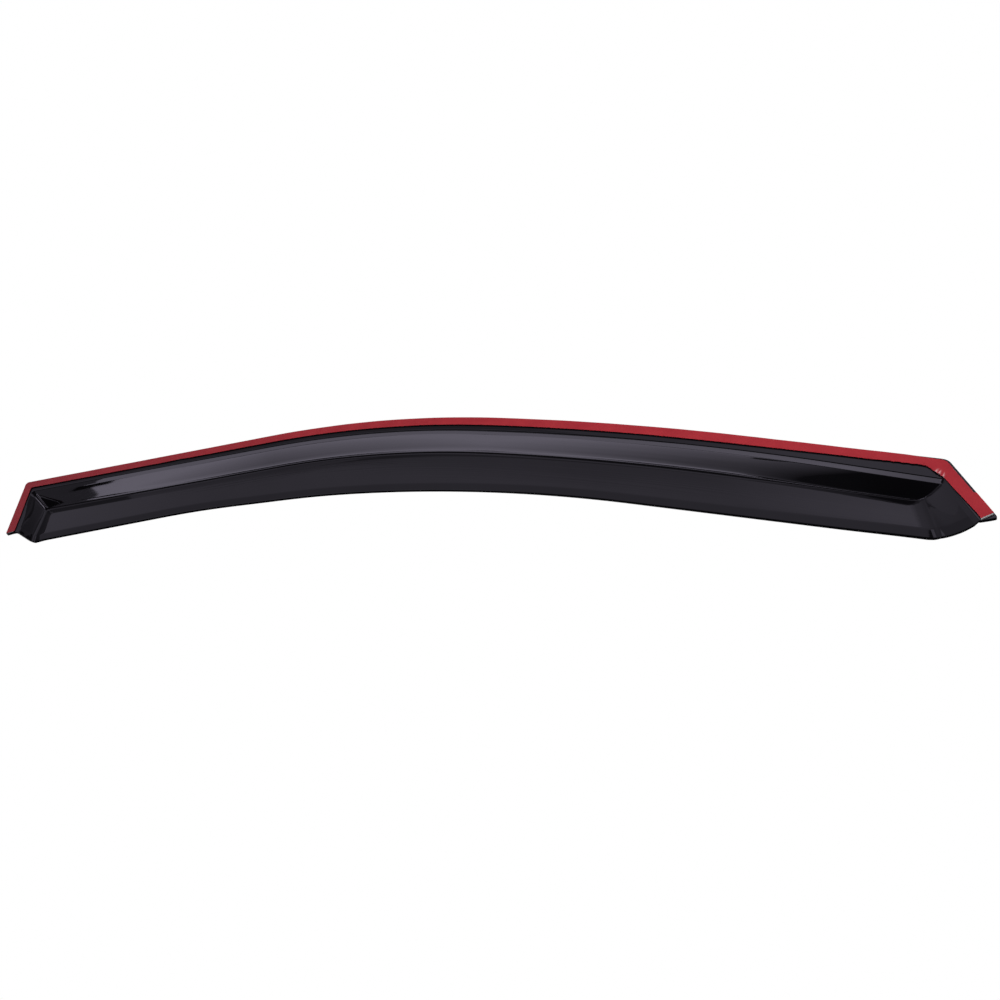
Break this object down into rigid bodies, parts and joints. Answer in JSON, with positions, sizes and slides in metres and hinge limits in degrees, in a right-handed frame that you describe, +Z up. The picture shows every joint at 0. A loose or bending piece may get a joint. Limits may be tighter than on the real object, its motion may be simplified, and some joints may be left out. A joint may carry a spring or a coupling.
{
  "type": "window rain deflector",
  "caption": "Tape-on rain deflector for a front door window: curved dark visor with a stepped section, end walls and an open lower side, with foam tape and a red liner on its flange.",
  "frame": {"origin": "on the outside of the liner, half way across the tape, where the two arcs of the top run meet", "axes": "+X forward along the door, +Y outward from the car, +Z up; the taped side faces -Y"},
  "size_m": [0.9191, 0.0235, 0.3583],
  "materials": {
    "shell": "polished near-black smoke acrylic",
    "foam": "matt grey acrylic foam",
    "liner": "red release film with a soft sheen"
  },
  "bodies": {
    "root": {"visor_shell": "shell", "foam_tape": "foam", "release_liner": "liner"}
  },
  "joints": []
}
